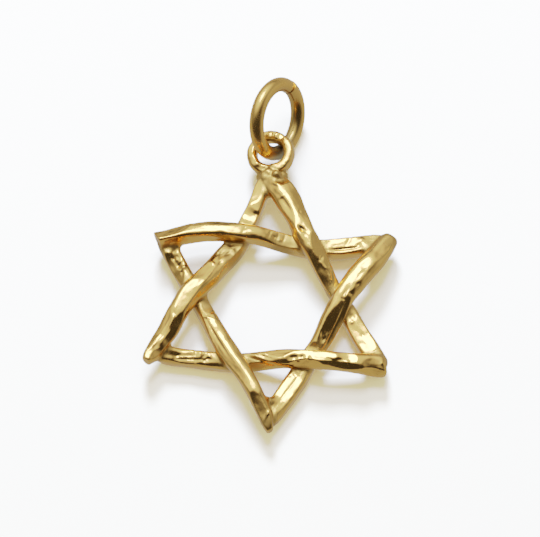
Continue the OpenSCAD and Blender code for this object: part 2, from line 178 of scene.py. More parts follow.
# A bar's rows are its sections, from its first point to its second. The columns are
# along: way along the bar, 0 at its first point and 1 at its second
# inward: shift toward the middle of the star, as a share of the bar width
# rise: height above the middle plane, as a share of the weave
# wide, deep: width and depth, as shares of the bar width and depth
# square: 2 is a round section, 4 a square one
# turn: degrees the section is turned about the bar's own line
ALONG, INWARD, RISE, WIDE, DEEP, SQUARE, TURN = range(7)
ROWS = {
    "top": (
        (-0.06, 0.06, 0.6, 0.68, 0.92, 4.4, 14), (0.02, -0.14, 0.8, 0.72, 0.96, 4.4, 16),
        (0.11, -0.35, 0.9, 0.76, 0.98, 4, 14), (0.22, -0.52, 1, 0.8, 1.02, 4, 6),
        (0.34, -0.47, 1.1, 0.82, 1, 3.8, 4), (0.47, -0.31, 0.6, 0.82, 0.96, 3.8, 4),
        (0.58, -0.05, -0.3, 0.8, 0.96, 4.2, 6), (0.68, 0.15, -0.9, 0.82, 0.98, 4.2, 2),
        (0.8, 0.18, -0.9, 0.92, 0.96, 4.4, 0), (0.92, 0.04, -0.8, 0.98, 0.9, 4, 0),
        (1, -0.04, -0.6, 0.94, 0.88, 3.2, 0), (1.044, -0.02, -0.5, 0.84, 0.8, 2.8, 0),
        (1.064, -0.02, -0.5, 0.5, 0.56, 2.4, 0),
    ),
    "left_down": (
        (-0.03, 0.42, -0.7, 0.5, 0.6, 3, 0), (0, 0.44, -0.8, 0.84, 0.88, 3.6, 0),
        (0.1, 0.36, -0.9, 0.88, 0.98, 3.6, 0), (0.21, 0.31, -1, 0.88, 1, 3.4, 2),
        (0.33, 0.27, -0.9, 0.84, 0.98, 2.8, 2), (0.44, 0.2, -0.2, 0.88, 1, 2.4, 0),
        (0.56, 0.11, 0.7, 1, 1.02, 2.2, 0), (0.66, 0.11, 1.1, 1, 1, 2.2, 0),
        (0.76, 0.18, 1.2, 0.84, 1.02, 2.2, 0), (0.86, 0.14, 1.2, 0.76, 1.04, 2.6, 0),
        (0.97, 0.02, 0.7, 0.68, 0.96, 3, 0), (1.02, -0.09, 0.4, 0.5, 0.82, 2.8, 0),
        (1.045, -0.14, 0.3, 0.32, 0.6, 2.6, 0),
    ),
    "right_down": (
        (-0.066, -0.4, -0.4, 0.5, 0.56, 2.4, 0), (-0.052, -0.4, -0.3, 0.8, 0.8, 2.4, 0),
        (0, -0.38, 0.1, 1, 0.94, 2.3, 0), (0.05, -0.35, 0.5, 1.08, 0.98, 2.2, 0),
        (0.11, -0.27, 1, 1.2, 1, 2.2, -3), (0.22, -0.1, 1.3, 1.2, 1.02, 2.3, -5),
        (0.33, -0.02, 1.2, 1.08, 1.02, 2.4, 0), (0.44, -0.08, 0.5, 1.1, 1.02, 2.8, 12),
        (0.55, -0.13, -0.4, 0.94, 1, 2.8, 12), (0.65, -0.07, -1, 0.94, 0.98, 2.8, 0),
        (0.76, -0.07, -0.9, 1.04, 0.92, 3.4, -5), (0.88, 0, -0.8, 1, 0.9, 3.4, -5),
        (0.95, 0.03, -0.5, 0.92, 0.9, 2.8, 0), (0.99, 0.02, -0.2, 0.74, 0.84, 2.6, 0),
        (1.015, 0.02, -0.1, 0.44, 0.6, 2.4, 0),
    ),
    "left_up": (
        (-0.07, -0.3, -0.3, 0.6, 0.7, 3, -10), (0.03, -0.16, -0.5, 0.8, 0.84, 3.8, -2),
        (0.13, 0.04, -0.7, 0.82, 0.88, 4, 0), (0.23, 0.16, -0.9, 0.9, 0.94, 3.6, 6),
        (0.33, 0.17, -1, 1.1, 0.98, 3, 6), (0.43, 0.04, -0.5, 1.18, 1.02, 2.6, 4),
        (0.54, -0.1, 0.5, 1.2, 1.04, 2.4, 0), (0.64, -0.33, 1.1, 1.14, 1.04, 2.4, -4),
        (0.74, -0.36, 1.1, 1.04, 1, 2.4, -4), (0.85, -0.32, 0.9, 1.02, 1, 2.4, 0),
        (0.94, -0.37, 0.8, 0.86, 0.92, 2.3, 0), (1.005, -0.4, 0.75, 0.64, 0.9, 2.2, 0),
        (1.029, -0.41, 0.8, 0.42, 0.8, 2, 0),
    ),
    "right_up": (
        (-0.06, -0.26, 0.2, 0.66, 0.76, 2.2, 0), (0.03, -0.4, 0.5, 1.2, 0.94, 2.2, 0),
        (0.11, -0.42, 0.8, 1.32, 1, 2.1, 2), (0.21, -0.34, 1, 1.14, 1.02, 2.2, 3),
        (0.3, -0.2, 1.1, 1.08, 1.02, 2.3, 4), (0.4, -0.16, 0.9, 0.98, 1, 2.6, 4),
        (0.5, -0.11, 0.1, 0.88, 0.98, 2.8, 0), (0.6, -0.07, -0.8, 0.8, 0.96, 2.8, -2),
        (0.71, -0.07, -1, 0.88, 0.92, 3, -4), (0.83, 0, -0.9, 0.96, 0.88, 3.4, -4),
        (0.94, 0, -0.8, 1, 0.86, 3.2, 0), (1, -0.05, -0.6, 0.86, 0.8, 2.8, 0),
        (1.026, -0.08, -0.5, 0.54, 0.6, 2.6, 0),
    ),
    "bottom": (
        (0, 0.46, -0.8, 0.5, 0.56, 2.6, 0), (0.04, 0.44, -0.9, 0.78, 0.84, 3.6, 0),
        (0.13, 0.34, -1, 0.8, 0.92, 4.2, 4), (0.24, 0.18, -1, 0.82, 0.98, 3.8, 4),
        (0.35, 0.07, -0.9, 0.86, 1, 3, 4), (0.46, 0.06, -0.1, 0.88, 1, 2.6, 0),
        (0.57, 0.07, 0.8, 0.9, 1.02, 2.4, -4), (0.67, 0.02, 1.1, 0.88, 1.02, 2.4, -4),
        (0.78, -0.05, 1.1, 0.86, 1, 2.4, -4), (0.89, -0.16, 0.8, 0.94, 1.02, 2.6, 0),
        (0.98, -0.2, 0.2, 1.04, 1, 3, 0), (1.02, -0.22, 0, 0.98, 0.92, 3.2, 0),
        (1.036, -0.22, -0.1, 0.72, 0.66, 3, 0),
    ),
}

# Flat faces filed or hammered on a bar. The columns are
# along: way along the bar
# around: degrees round the section, 0 toward the star's middle, 90 to the front
# sunk: depth of the cut in mm
# length: length of the flat in mm
# tilt: degrees that the flat leans toward the bar's second point
FLATS = {
    "top": (
        (0.03, 108, 0.25, 4.2, 0), (0.25, 118, 0.12, 4.6, 0), (0.27, 93, 0.04, 3.6, 0),
        (0.56, 78, 0.15, 2.4, 0), (0.83, 91, 0.1, 2.8, 0), (0.99, 106, 0.16, 2.6, 0),
    ),
    "left_down": (
        (0.05, 88, 0.1, 1.2, 0), (0.09, 116, 0.24, 1.8, 18), (0.385, 68, 0.14, 1.6, 0),
        (0.17, 123, 0.22, 2, 0), (0.66, 116, 0.19, 7.6, 0), (0.66, 64, 0.12, 7.6, 0),
        (0.66, 88, 0.13, 8.6, 0), (0.92, 109, 0.22, 3.5, 5), (0.95, 68, 0.1, 2.6, 0),
    ),
    "right_down": (
        (0.02, 102, 0.1, 2.4, 0), (0.23, 90, 0.06, 4.2, 0), (0.48, 101, 0.22, 3.8, 0),
        (0.46, 118, 0.26, 4.8, 0), (0.6, 74, 0.16, 1.1, 0), (0.83, 92, 0.1, 3.6, 0),
    ),
    "left_up": (
        (0.06, 104, 0.12, 2, 0), (0.18, 91, 0.14, 1.4, 0), (0.42, 30, 0.08, 3.6, 0),
        (0.385, 86, 0.1, 2.4, -5), (0.53, 106, 0.1, 2, 0), (0.67, 93, 0.1, 3.2, 0),
        (0.62, 35, 0.08, 4.4, 0), (0.88, 122, 0.26, 3.8, 0), (0.89, 62, 0.2, 4.2, 0),
        (0.93, 76, 0.2, 1.6, 10), (0.96, 54, 0.18, 1.5, 8), (1.01, 89, 0.13, 1.4, -10),
    ),
    "right_up": (
        (0.01, 112, 0.2, 1.7, 0), (0, 62, 0.14, 2.4, 0), (0.17, 114, 0.14, 4.8, 0),
        (0.15, 62, 0.08, 3.6, 0), (0.25, 89, 0.07, 7, 0), (0.42, 113, 0.24, 3.2, 0),
        (0.5, 68, 0.17, 4, 0), (0.55, 108, 0.09, 3.2, 0), (0.85, 90, 0.12, 3.6, 0),
    ),
    "bottom": (
        (0.13, 100, 0.16, 2, 0), (0.12, 70, 0.1, 1.2, 0), (0.46, 102, 0.1, 2.4, 0),
        (0.46, 152, 0.18, 2.6, 0), (0.55, 68, 0.14, 2.2, 0), (0.62, 103, 0.12, 1.4, 0),
        (0.75, 85, 0.09, 3.2, -3), (0.88, 86, 0.11, 1.3, -11), (0.67, 155, 0.2, 2.4, 0),
        (0.84, 130, 0.16, 2.2, 0), (0.98, 102, 0.14, 1.8, 0), (0.98, 152, 0.24, 1.8, 0),
    ),
}

# Dents in a bar, and with a negative depth bumps on it. The columns are
# along, around: as for the flats
# long, broad: half length and half breadth in mm
# depth: in mm
# skew: degrees that the dent's length is turned from the bar's line, 0 if left out
# crisp: 1, or left out, has soft edges, 2 sharper ones
DENTS = {
    "top": (
        (0.45, 94, 0.65, 0.4, -0.06, 0, 2), (0.395, 98, 0.4, 0.09, 0.05, 65),
        (0.29, 45, 0.35, 0.2, 0.08), (0.555, 74, 0.16, 0.1, -0.06, 20),
        (0.53, 82, 0.12, 0.12, 0.06), (0.51, 100, 0.4, 0.06, 0.04, 70),
        (0.545, 96, 0.4, 0.06, 0.04, 80), (0.575, 100, 0.4, 0.06, 0.04, 75),
        (0.855, 66, 1.2, 0.1, 0.09, 0, 2), (0.915, 80, 0.2, 0.12, 0.07),
        (0.87, 120, 0.4, 0.12, 0.04, 60), (0.93, 115, 0.2, 0.15, -0.06),
    ),
    "left_down": (
        (0.075, 85, 0.35, 0.16, 0.13, 50), (0.1, 105, 0.2, 0.15, 0.13),
        (0.115, 88, 0.12, 0.16, -0.07, 30), (0.13, 75, 0.15, 0.1, -0.07, 60),
        (0.145, 95, 0.16, 0.14, 0.13), (0.165, 70, 0.12, 0.2, -0.07, 20),
        (0.18, 95, 0.2, 0.12, 0.08, 30), (0.44, 100, 0.5, 0.07, -0.05, -45),
        (0.53, 117, 1.6, 0.09, 0.07), (0.425, 60, 0.3, 0.1, 0.06, 70),
        (0.985, 80, 0.5, 0.08, -0.07, 65),
    ),
    "right_down": (
        (0.245, 125, 0.22, 0.12, 0.08), (0.3, 126, 0.16, 0.12, 0.09),
        (0.32, 108, 0.3, 0.07, -0.05, 10), (0.31, 96, 0.35, 0.08, 0.06),
        (0.335, 50, 0.5, 0.12, -0.05), (0.34, 102, 0.1, 0.16, 0.07),
        (0.47, 118, 1.6, 0.06, -0.06, 1), (0.47, 127, 1.3, 0.08, 0.06, 1),
        (0.5, 85, 0.25, 0.12, 0.06, 20), (0.54, 95, 0.2, 0.12, 0.07),
        (0.52, 72, 0.2, 0.1, 0.05, 30), (0.82, 95, 1.4, 0.06, 0.05, -2),
        (0.74, 75, 0.25, 0.15, 0.07, 60),
    ),
    "left_up": (
        (0.155, 45, 0.16, 0.3, 0.08), (0.365, 64, 0.14, 0.12, -0.07), (0.34, 100, 0.15, 0.12, 0.09),
        (0.39, 80, 0.3, 0.12, 0.1, 20), (0.405, 112, 0.25, 0.08, 0.08, 10),
        (0.42, 98, 0.35, 0.1, 0.08, -20), (0.45, 76, 0.2, 0.1, 0.07),
        (0.472, 105, 0.12, 0.22, -0.07, 20), (0.54, 79, 1, 0.07, -0.05, -4),
        (0.78, 98, 0.3, 0.12, 0.06, -50), (0.88, 100, 0.8, 0.09, 0.08, 2),
        (0.92, 108, 0.35, 0.07, 0.05, 5), (0.9, 75, 0.6, 0.06, 0.05), (0.9, 88, 1.1, 0.14, 0.08, 3),
    ),
    "right_up": (
        (-0.02, 88, 0.25, 0.2, 0.08, 40), (0.03, 76, 0.3, 0.1, -0.06, 30),
        (0.1, 62, 0.12, 0.3, -0.05), (0.15, 62, 0.6, 0.18, 0.06), (0.21, 106, 0.1, 0.08, 0.05),
        (0.29, 76, 0.35, 0.13, 0.16, 28), (0.28, 52, 0.6, 0.08, -0.05),
        (0.45, 100, 0.12, 0.25, 0.08, 20), (0.54, 106, 0.8, 0.08, -0.05, -28),
        (0.53, 118, 0.7, 0.08, 0.05, -28), (0.75, 95, 0.25, 0.3, 0.08),
        (0.775, 80, 0.12, 0.16, -0.06), (0.85, 100, 0.15, 0.1, 0.04), (0.95, 95, 0.08, 0.4, 0.06),
    ),
    "bottom": (
        (0.085, 98, 0.28, 0.24, 0.15), (0.135, 102, 0.85, 0.08, -0.07, -9),
        (0.15, 114, 0.95, 0.08, 0.07, -6), (0.175, 65, 0.1, 0.35, 0.07),
        (0.195, 65, 0.09, 0.35, -0.07, 5), (0.215, 75, 0.1, 0.25, 0.06, 30),
        (0.23, 95, 0.14, 0.12, 0.09), (0.215, 108, 0.12, 0.1, 0.08),
        (0.24, 80, 0.16, 0.1, -0.07, 40), (0.46, 86, 0.9, 0.08, -0.06, 28),
        (0.47, 72, 0.8, 0.08, 0.05, 28), (0.45, 100, 0.9, 0.07, 0.05, 28),
        (0.62, 106, 0.22, 0.15, 0.09), (0.655, 100, 0.2, 0.14, 0.1), (0.64, 130, 0.16, 0.14, -0.06),
        (0.69, 108, 0.12, 0.12, 0.07), (0.78, 108, 0.25, 0.1, 0.09, 10),
        (0.825, 102, 0.3, 0.11, 0.1), (0.86, 112, 0.12, 0.12, -0.06), (1.015, 90, 0.1, 0.12, -0.05),
    ),
}

# Each web fills the corner between two bars: a bar and the way along it, twice
WEBS = (
    ("top", 0.09, "left_down", 0.07), ("top", 0.93, "right_down", 0.06),
    ("left_down", 0.895, "right_down", 0.895), ("left_up", 0.05, "right_up", 0.05),
    ("left_up", 0.92, "bottom", 0.08), ("left_up", 0.99, "bottom", 0.03),
    ("left_up", 0.585, "left_down", 0.375), ("right_up", 0.95, "bottom", 0.95),
)
# The foot of the eye runs down into both top bars, at this way along them
EYE_FOOT = (("left_up", 0.06), ("right_up", 0.06))

# Dents in the eye's rim, and with a negative depth bumps on it. The columns are
# bearing: degrees round the eye, from the right
# around: degrees round the wall's section, 0 outwards, 90 to the front
# long, broad: half length round the eye and half breadth in mm
# depth: in mm
EYE_DENTS = (
    (118, 84, 0.3, 0.22, -0.03), (96, 84, 0.18, 0.2, -0.02), (82, 74, 0.16, 0.25, 0.035),
    (70, 88, 0.2, 0.25, -0.05), (52, 86, 0.55, 0.5, 0.1), (5, 40, 0.6, 0.15, -0.03),
    (-12, 20, 0.35, 0.2, 0.06), (-38, 20, 0.2, 0.25, 0.06), (-98, 90, 0.4, 0.5, 0.22),
    (-122, 85, 0.25, 0.4, 0.1), (150, 70, 0.2, 0.2, 0.05), (172, 100, 0.3, 0.12, -0.05),
    (200, 60, 0.25, 0.2, 0.07), (228, 100, 0.25, 0.15, -0.05), (-95, 175, 0.8, 0.45, -0.2),
)

# Beads of solder round the foot of the eye. The columns are
# bearing: degrees round the eye, from the right
# out: distance from the wall's outside, as a share of the solder radius
# up: height above the eye's middle, as a share of the eye's depth
# size: radius, as a share of the solder radius
SOLDER = (
    (-75, 0.45, 0.52, 0.8), (-78, 1.3, 0.5, 0.36), (-71, 1.15, 0.46, 0.34), (-100, 0.6, 0.26, 0.85),
    (-112, 0.3, -0.1, 0.95), (-64, 0.5, -0.12, 0.95),
)

# Stretches given painted shade and a dull gloss: a bar, the way along it and half the length in mm
DULL_AND_SHADE_SPOTS = (
    ("left_up", 0.385, 1.7), ("left_down", 0.37, 1.4), ("top", 0.57, 1.5), ("bottom", 0.44, 1.2),
    ("right_up", 0.6, 1),
)

# Steps between two rows when a bar is drawn
STEPS = 12
# Squareness of the eye's wall, as for a bar
EYE_SQUARE = 3.2
# From the middle of the top point up to the eye's wall, as a share of the bar width
EYE_UP = 0.5
# How far from a piece its field is worked out, in mm
REACH = 0.6
# Softness of a flat's edge and of a bar's end, in mm
FLAT_EDGE, END_EDGE = 0.03, 0.12
# How far along the bar a dent is worked out, in half lengths
DENT_REACH = 2.5
# Width of the soft joints of the webs, the eye and the beads of solder, in mm
WEB_FILLET, EYE_FILLET, BEAD_FILLET = 0.3, 0.15, 0.12
# Room round the star in its grid, in mm
GRID_MARGIN = 2
# Field of a grid point that is filled to mend a pinch, as a share of the grid's step
MENDED = -0.05
# Least square of the field's slope that the skin is settled by
LEAST_SLOPE = 0.05
# How far out of the skin more metal makes a corner dull and gives it painted shade, in mm
CORNER_LOOK = 0.35
# How steeply a stretch of painted shade and dull gloss fades toward its ends
SHADE_SPOT_FADE = 1.5


def smooth_min(a, b, width):
    """The lower of two fields, with a soft joint as wide as width."""
    near = np.maximum(width - np.abs(a - b), 0) / width
    return np.minimum(a, b) - near * near * width / 4


def smooth_max(a, b, width):
    """The higher of two fields, with a soft edge as wide as width."""
    return -smooth_min(-a, -b, width)


def smooth_rows(rows):
    """The rows of a table with a curve drawn through them."""
    rows = np.array(rows, float)
    last = len(rows) - 1
    drawn = []
    for t in np.linspace(0, last, STEPS * last + 1):
        i = min(int(t), last - 1)
        t -= i
        a, b, c, d = (rows[np.clip(i + k, 0, last)] for k in (-1, 0, 1, 2))
        drawn.append(0.5 * (2 * b + (c - a) * t + (2 * a - 5 * b + 4 * c - d) * t ** 2
                            + (3 * b - a - 3 * c + d) * t ** 3))
    return np.array(drawn)


def superellipse(a, b, half_a, half_b, square):
    """Rough distance from a rounded box outline, under 0 inside."""
    u, v = np.abs(a) / half_a, np.abs(b) / half_b
    gauge = np.maximum(u ** square + v ** square, 1e-12) ** (1 / square)
    slope_a = (u / gauge) ** (square - 1) / half_a
    slope_b = (v / gauge) ** (square - 1) / half_b
    return (gauge - 1) / np.hypot(slope_a, slope_b)


def half_turn(way):
    """An angle in radians, brought between minus and plus half a turn."""
    return (way + math.pi) % (2 * math.pi) - math.pi


def cos_sin(degrees):
    """The cosine and the sine of an angle in degrees."""
    return math.cos(math.radians(degrees)), math.sin(math.radians(degrees))


def dent(x, y, long, broad, depth, skew=0, crisp=1):
    """What a soft round dent, or with a negative depth a bump, adds to a field."""
    c, s = cos_sin(skew)
    inside = ((x * c + y * s) / long) ** 2 + ((y * c - x * s) / broad) ** 2
    return depth * np.exp(-inside ** crisp)


class Bar:
    """One bar of the star, in mm in the star's own frame."""

    def __init__(self, star, name):
        points = [star.reach / MM * np.array((*cos_sin(point), 0)) for point in BARS[name]]
        self.start = points[0]
        self.length = np.linalg.norm(points[1] - points[0])
        self.axis = (points[1] - points[0]) / self.length
        self.side = -(points[0] + points[1]) / np.linalg.norm(points[0] + points[1])
        self.rows = smooth_rows(ROWS[name])
        self.rows[:, [INWARD, WIDE]] *= star.bar_width / MM
        self.rows[:, RISE] *= star.weave / MM
        self.rows[:, DEEP] *= star.bar_depth / MM
        self.rows[:, TURN] = np.radians(self.rows[:, TURN])
        self.flats, self.dents = FLATS[name], DENTS[name]
        self.fillet = star.fillet / MM
        self.cut = None

    def column(self, along, name):
        """What a column of the drawn rows says at a way along the bar."""
        return np.interp(along, self.rows[:, ALONG], self.rows[:, name])

    def middle(self, along):
        """The middle of the bar at a way along it."""
        return (self.start + self.axis * along * self.length + self.side * self.column(along, INWARD)
                + np.array((0, 0, self.column(along, RISE))))

    def beside(self, points):
        """Way along the bar, and the distance inward from its middle in mm."""
        offset = points - self.start
        along = offset @ self.axis / self.length
        return along, offset @ self.side - self.column(along, INWARD)

    def near(self, points):
        """Which points are close enough for this bar to matter."""
        along, across = self.beside(points)
        margin = REACH / self.length
        wide = self.rows[:, WIDE].max() / 2 + REACH
        return ((np.abs(across) < wide) & (along > self.rows[0, ALONG] - margin)
                & (along < self.rows[-1, ALONG] + margin))

    def place(self, points):
        """Way along the bar, and place in its section: inward and forward, in mm."""
        along, across = self.beside(points)
        up = points[:, 2] - self.column(along, RISE)
        turn = self.column(along, TURN)
        return along, across * np.cos(turn) + up * np.sin(turn), up * np.cos(turn) - across * np.sin(turn)

    def distance(self, points):
        """Signed distance from the bar's skin, under 0 inside."""
        along, a, b = self.place(points)
        half_a, half_b = self.column(along, WIDE) / 2, self.column(along, DEEP) / 2
        square = self.column(along, SQUARE)
        field = superellipse(a, b, half_a, half_b, square)
        for spot, around, sunk, long, tilt in self.flats:
            x = (along - spot) * self.length
            by = np.abs(x) < long
            c, s = cos_sin(around)
            dual = square[by] / (square[by] - 1)
            reach = ((half_a[by] * abs(c)) ** dual + (half_b[by] * abs(s)) ** dual) ** (1 / dual)
            face = (a[by] * c + b[by] * s - reach + sunk + x[by] * math.tan(math.radians(tilt))
                    - sunk * (2 * x[by] / long) ** 2)
            field[by] = smooth_max(field[by], face, FLAT_EDGE)
        way = np.arctan2(b / half_b, a / half_a)
        for spot, around, long, broad, *form in self.dents:
            x = (along - spot) * self.length
            by = np.abs(x) < DENT_REACH * max(long, broad)
            y = half_turn(way[by] - math.radians(around)) * (half_a[by] + half_b[by]) / 2
            field[by] += dent(x[by], y, long, broad, *form)
        past = np.maximum(self.rows[0, ALONG] - along, along - self.rows[-1, ALONG]) * self.length
        field = smooth_max(field, past, END_EDGE)
        if self.cut:
            place, out = self.cut
            field = smooth_max(field, (points - place) @ out, FLAT_EDGE)
        return field


class Capsule:
    """A round-ended rod between two points, in mm."""

    def __init__(self, start, end, radius, fillet):
        self.start, self.end, self.radius, self.fillet = start, end, radius, fillet

    def near(self, points):
        low = np.minimum(self.start, self.end) - self.radius - REACH
        high = np.maximum(self.start, self.end) + self.radius + REACH
        return ((points > low) & (points < high)).all(axis=1)

    def distance(self, points):
        line = self.end - self.start
        along = np.clip((points - self.start) @ line / max(line @ line, 1e-9), 0, 1)
        return np.linalg.norm(points - self.start - along[:, None] * line, axis=1) - self.radius


class Loop:
    """The eye's wall: a rounded box section carried round the hole, in mm."""

    fillet = EYE_FILLET

    def __init__(self, middle, tilt, radius, wall, depth):
        self.middle, self.tilt, self.radius, self.wall, self.depth = middle, tilt, radius, wall, depth

    def near(self, points):
        return np.linalg.norm(points - self.middle, axis=1) < self.radius + self.wall + REACH

    def distance(self, points):
        local = (points - self.middle) @ self.tilt
        out = np.hypot(local[:, 0], local[:, 1]) - self.radius
        field = superellipse(out, local[:, 2], self.wall / 2, self.depth / 2, EYE_SQUARE)
        bearing = np.arctan2(local[:, 1], local[:, 0])
        way = np.arctan2(local[:, 2] / self.depth, out / self.wall)
        for spot, around, *form in EYE_DENTS:
            x = half_turn(bearing - math.radians(spot)) * self.radius
            y = half_turn(way - math.radians(around)) * self.wall / 2
            field += dent(x, y, *form)
        return field


def star_pieces(star, eye):
    """The bars, webs, eye and solder that are cast and soldered into one body."""
    bars = {name: Bar(star, name) for name in BARS}
    # The top bar's left end is filed flush with the outer side of the bar below it
    below, row = bars["left_down"], ROWS["left_down"][1]
    half = row[WIDE] * star.bar_width / MM / 2
    bars["top"].cut = (below.middle(row[ALONG]) - below.side * half, -below.side)
    web = star.web_radius / MM
    pieces = list(bars.values())
    for one, along, other, way in WEBS:
        pieces.append(Capsule(bars[one].middle(along), bars[other].middle(way), web, WEB_FILLET))
    hole, wall, depth, solder = (size / MM for size in (eye.hole, eye.wall, eye.depth, eye.solder))
    radius = (hole + wall) / 2
    middle = np.array((eye.side / MM, (star.reach + star.bar_width * EYE_UP) / MM + hole / 2 + wall, 0))
    tilt = np.array(Matrix.Rotation(-eye.lean, 3, "Y"))
    pieces.append(Loop(middle, tilt, radius, wall, depth))
    foot = middle - np.array((0, radius + wall / 4, 0))
    for name, along in EYE_FOOT:
        pieces.append(Capsule(bars[name].middle(along), foot, web, WEB_FILLET))
    for bearing, out, up, size in SOLDER:
        reach, (c, s) = radius + wall / 2 + out * solder, cos_sin(bearing)
        place = middle + tilt @ np.array((reach * c, reach * s, up * depth))
        pieces.append(Capsule(place, place, size * solder, BEAD_FILLET))
    return bars, pieces


def grain_places(points, bars):
    """Each point's place in its nearest bar with that bar's number, and its distance from the next bar.

    The place is along, inward and forward in mm. A point near no bar keeps its own place and
    has the number after the last bar's.
    """
    nearest, second = np.full(len(points), REACH), np.full(len(points), REACH)
    places = np.column_stack((points, np.full(len(points), len(bars))))
    for number, bar in enumerate(bars.values()):
        by = np.flatnonzero(bar.near(points))
        gap = bar.distance(points[by])
        second[by] = np.minimum(second[by], np.maximum(gap, nearest[by]))
        closer = gap < nearest[by]
        by = by[closer]
        nearest[by] = gap[closer]
        along, a, b = bar.place(points[by])
        places[by] = np.column_stack((along * bar.length, a, b, np.full(len(by), number)))
    return places, second


def star_field(points, pieces):
    """The star's field: under 0 in the metal, over 0 outside."""
    field = np.full(len(points), REACH)
    for piece in pieces:
        by = piece.near(points)
        field[by] = smooth_min(field[by], piece.distance(points[by]), piece.fillet)
    return field


CORNERS = np.array([(i, j, k) for i in (0, 1) for j in (0, 1) for k in (0, 1)])
CELL_EDGES = [(a, b) for a in range(8) for b in range(a + 1, 8)
              if np.abs(CORNERS[a] - CORNERS[b]).sum() == 1]


def corner_parts(shape, corners, flat=None):
    """For each corner, the part of a grid that is that corner of every cell, or of every square."""
    return [tuple(slice(o, n if axis == flat else n - 1 + o)
                  for axis, (o, n) in enumerate(zip(corner, shape))) for corner in corners]


def mend_pinches(field, level):
    """Fills the grid points beside which the metal would touch itself only at an edge or a corner."""
    cells = corner_parts(field.shape, CORNERS)
    fill = True
    while np.any(fill):
        inside, fill = field < 0, np.zeros(field.shape, bool)
        for axis in range(3):
            square = corner_parts(field.shape, CORNERS[CORNERS[:, axis] == 0], axis)
            a, b, c, d = (inside[part] for part in square)
            pinch = (a == d) & (b == c) & (a != b)
            for part in square:
                fill[part] |= pinch & ~inside[part]
        count = sum(inside[part].astype(int) for part in cells)
        for number in range(4):
            ends = inside[cells[number]].astype(int) + inside[cells[7 - number]]
            pinch = (ends == 2) & (count == 2) | (ends == 0) & (count == 6)
            for part in cells:
                fill[part] |= pinch & ~inside[part]
        field = np.where(fill, level, field)
    return field


def skin(field, low, step):
    """Points and quads of a skin round the part of a grid where field is under 0."""
    inside = field < 0
    count = sum(inside[part].astype(int) for part in corner_parts(field.shape, CORNERS))
    mixed = (count > 0) & (count < 8)
    number = np.full(mixed.shape, -1)
    number[mixed] = np.arange(mixed.sum())
    corner = np.argwhere(mixed)
    total, crossings = np.zeros(corner.shape), np.zeros(len(corner))
    for a, b in CELL_EDGES:
        fa, fb = (field[tuple((corner + CORNERS[end]).T)] for end in (a, b))
        cross = (fa < 0) != (fb < 0)
        share = fa[cross] / (fa[cross] - fb[cross])
        total[cross] += CORNERS[a] + share[:, None] * (CORNERS[b] - CORNERS[a])
        crossings[cross] += 1
    points = low + (corner + total / crossings[:, None]) * step
    quads = []
    for axis in range(3):
        ahead, across, up = np.roll(np.eye(3, dtype=int), -axis, axis=0)
        start = inside[tuple(slice(1, n - 1) for n in field.shape)]
        end = inside[tuple(slice(1 + a, n - 1 + a) for n, a in zip(field.shape, ahead))]
        for out, order in ((start & ~end, 1), (~start & end, -1)):
            here = np.argwhere(out) + 1
            ring = [here - across - up, here - up, here, here - across][::order]
            quads.append(np.stack([number[tuple(c.T)] for c in ring], axis=1))
    return points, np.concatenate(quads)


def slope(points, field_at, step):
    """The field's slope at each point, as a vector."""
    sides = [(field_at(points + step * e) - field_at(points - step * e)) / (2 * step) for e in np.eye(3)]
    return np.stack(sides, axis=1)


def settle(points, field_at, step, passes=2):
    """Moves points onto the surface where the field is 0."""
    for _ in range(passes):
        steep = slope(points, field_at, step / 4)
        square = np.maximum((steep ** 2).sum(axis=1), LEAST_SLOPE)
        move = field_at(points)[:, None] * steep / square[:, None]
        size = np.linalg.norm(move, axis=1)[:, None]
        points = points - move * np.minimum(1, step / 2 / np.maximum(size, 1e-9))
    return points


def lowest(bar, keep):
    """The lowest point of a bar, on the side that keep picks."""
    ways = np.radians(np.arange(0, 360, 5))
    found = []
    for row in bar.rows:
        a = row[WIDE] / 2 * np.sign(np.cos(ways)) * np.abs(np.cos(ways)) ** (2 / row[SQUARE])
        b = row[DEEP] / 2 * np.sign(np.sin(ways)) * np.abs(np.sin(ways)) ** (2 / row[SQUARE])
        c, s = math.cos(row[TURN]), math.sin(row[TURN])
        point = (bar.middle(row[ALONG]) + np.outer(a * c - b * s, bar.side)
                 + np.outer(a * s + b * c, (0, 0, 1)))
        found += [p for p in point if keep(p)]
    return min(found, key=lambda p: p[2])


def lying_pose(ring, bars, eye_middle):
    """Turns the star so that it rests on two bars and, at its eye, on the jump ring."""
    foot = lowest(bars["right_down"], lambda p: p[1] < 0)
    side_foot = lowest(bars["bottom"], lambda p: p[0] < 0)
    radius = (ring.inside + ring.wire) / 2 / MM
    drop = math.hypot(math.sin(ring.rise), math.sin(ring.lean) * math.cos(ring.rise))
    eye_up = ring.wire / 2 / MM + radius * (drop - math.sin(ring.rise))
    ahead = eye_middle[1] - foot[1]
    pitch = math.asin(eye_up / math.hypot(ahead, foot[2])) - math.atan2(-foot[2], ahead)
    height = [p[1] * math.sin(pitch) + p[2] * math.cos(pitch) for p in (foot, side_foot)]
    roll = math.atan((height[1] - height[0]) / (side_foot[0] - foot[0]))
    return Matrix.Rotation(roll, 3, "Y") @ Matrix.Rotation(pitch, 3, "X")


